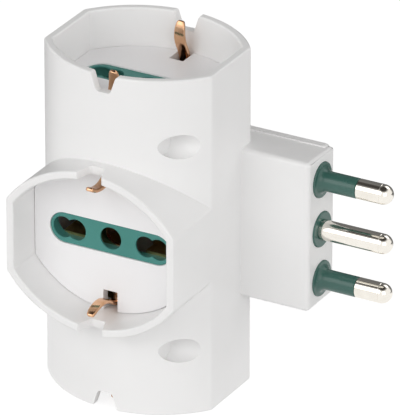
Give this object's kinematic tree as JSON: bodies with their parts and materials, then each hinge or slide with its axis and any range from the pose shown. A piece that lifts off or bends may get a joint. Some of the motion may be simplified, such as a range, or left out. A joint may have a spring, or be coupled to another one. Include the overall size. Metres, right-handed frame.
{
  "type": "multi socket adapter",
  "caption": "Upright tube-shaped adapter with side-earth sockets at both ends and on a front collar, and a plug block with in-line sleeved pins at the rear of one side.",
  "frame": {"origin": "on the tube's axis in the plane of the lower rim", "axes": "+Z along the tube, upwards; the front socket faces -Y; the plug pins point along +X"},
  "size_m": [0.083, 0.0494, 0.088],
  "materials": {
    "white_plastic": "smooth moulded, soft gloss",
    "white_floor_plastic": "smooth moulded",
    "green_insert_plastic": "smooth moulded",
    "green_sleeve_plastic": "satin moulded",
    "copper_strip": "bright copper alloy strip",
    "brass_contact": "stamped strip",
    "nickel_pin": "bright nickel plate",
    "carrier_plastic": "moulded, not seen"
  },
  "bodies": {
    "root": {"housing": "white_plastic", "upper_socket_plate": "white_floor_plastic", "upper_hole_insert": "green_insert_plastic", "upper_earth_bracket": "copper_strip", "upper_line_contact": "brass_contact", "upper_neutral_contact": "brass_contact", "front_socket_plate": "white_floor_plastic", "front_hole_insert": "green_insert_plastic", "front_earth_bracket": "copper_strip", "front_line_contact": "brass_contact", "front_neutral_contact": "brass_contact", "lower_socket_plate": "white_floor_plastic", "lower_hole_insert": "green_insert_plastic", "lower_earth_bracket": "copper_strip", "lower_line_contact": "brass_contact", "lower_neutral_contact": "brass_contact", "line_bar": "brass_contact", "neutral_bar": "brass_contact", "earth_bar": "brass_contact", "contact_carrier": "carrier_plastic", "line_pin": "nickel_pin", "neutral_pin": "nickel_pin", "earth_pin": "nickel_pin", "line_pin_sleeve": "green_sleeve_plastic", "neutral_pin_sleeve": "green_sleeve_plastic", "earth_pin_collar": "green_sleeve_plastic"}
  },
  "joints": []
}
